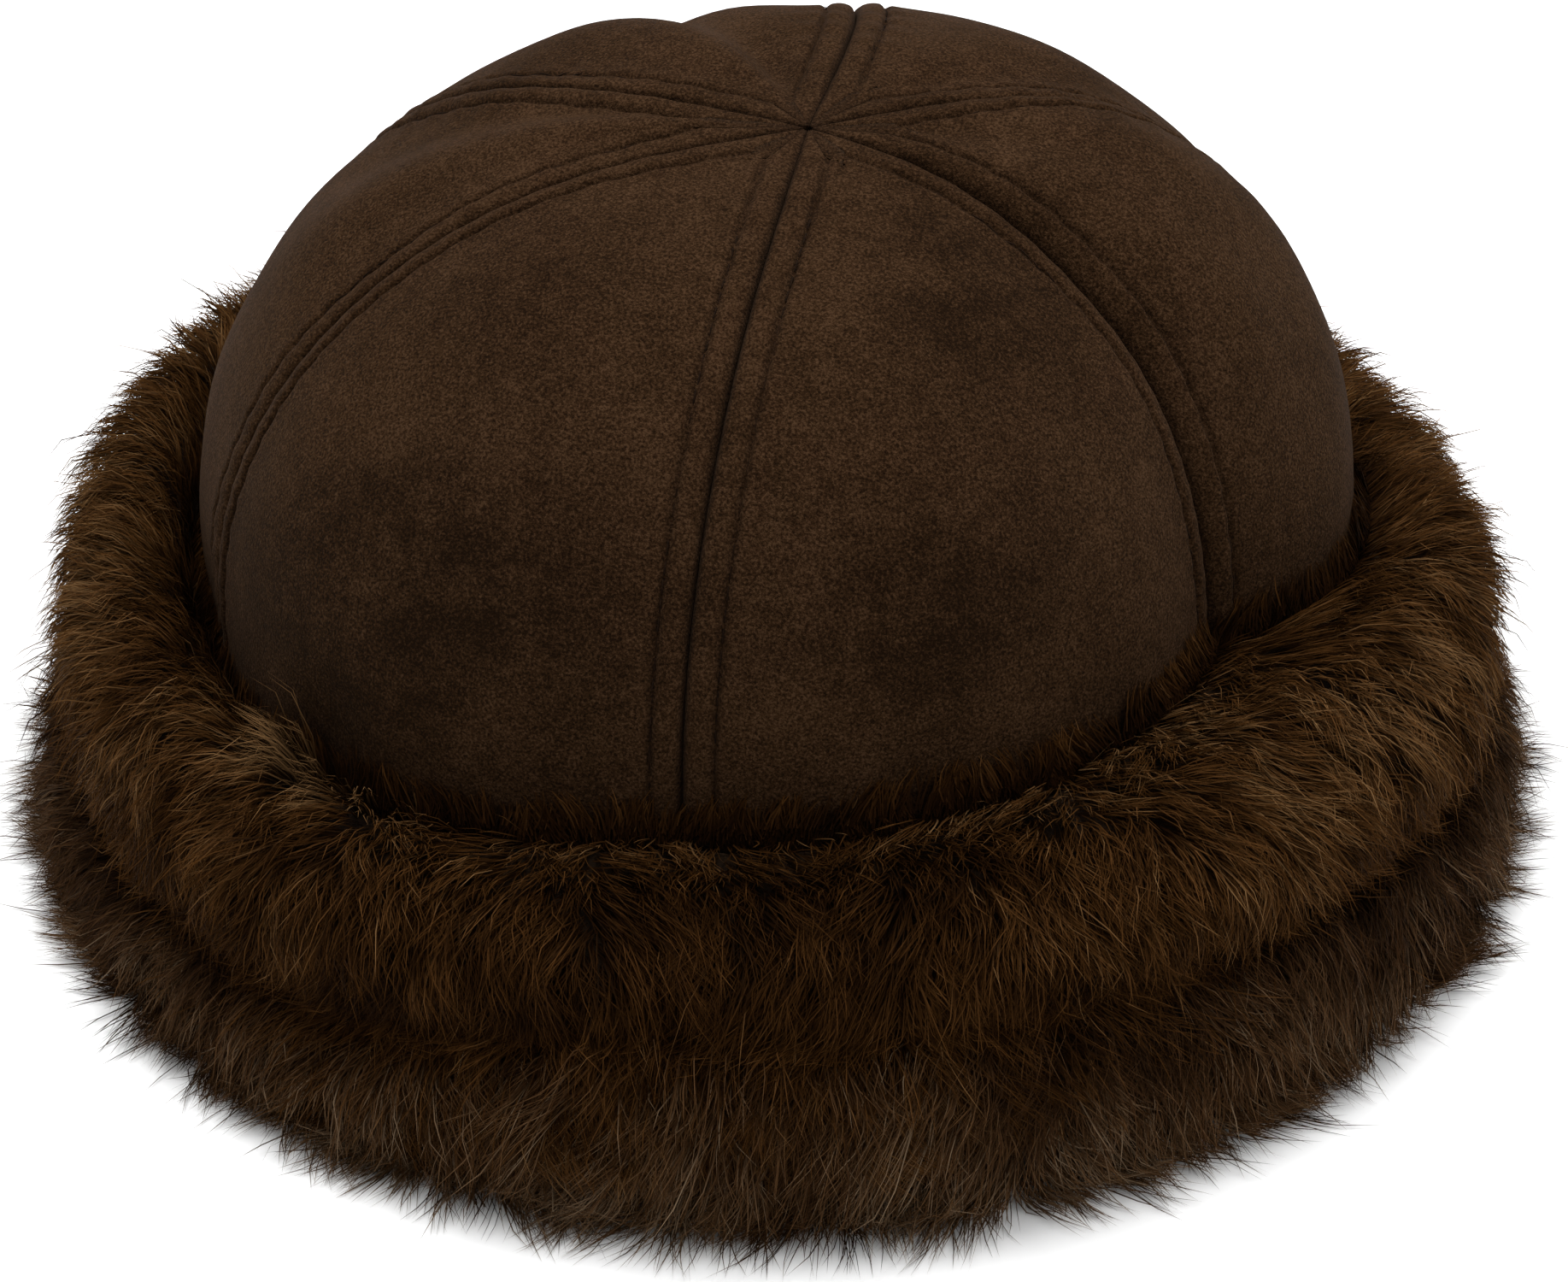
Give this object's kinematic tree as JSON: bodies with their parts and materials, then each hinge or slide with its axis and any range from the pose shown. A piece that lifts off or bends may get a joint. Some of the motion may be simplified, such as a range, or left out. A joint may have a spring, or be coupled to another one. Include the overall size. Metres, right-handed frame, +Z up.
{
  "type": "suede cap with fur brim",
  "caption": "Round cap with a domed crown of sewn suede gores meeting at a dimpled top, and a deep two-tier fur brim on which it stands.",
  "frame": {"origin": "on the floor under the middle of the brim", "axes": "+Z up out of the crown, -Y towards the front seam, +X to the right as seen from the front"},
  "size_m": [0.2546, 0.2547, 0.1313],
  "materials": {
    "crown_suede": "dark brown suede, napped and matt",
    "fur_upper": "golden brown fur pile",
    "fur_lower": "dark grey-brown fur pile with longer guard hairs"
  },
  "bodies": {
    "root": {"crown_panel_front_right": "crown_suede", "crown_panel_right": "crown_suede", "crown_panel_back_right": "crown_suede", "crown_panel_back_left": "crown_suede", "crown_panel_left": "crown_suede", "crown_panel_front_left": "crown_suede", "brim_fur_upper": "fur_upper", "brim_fur_lower": "fur_lower"}
  },
  "joints": []
}
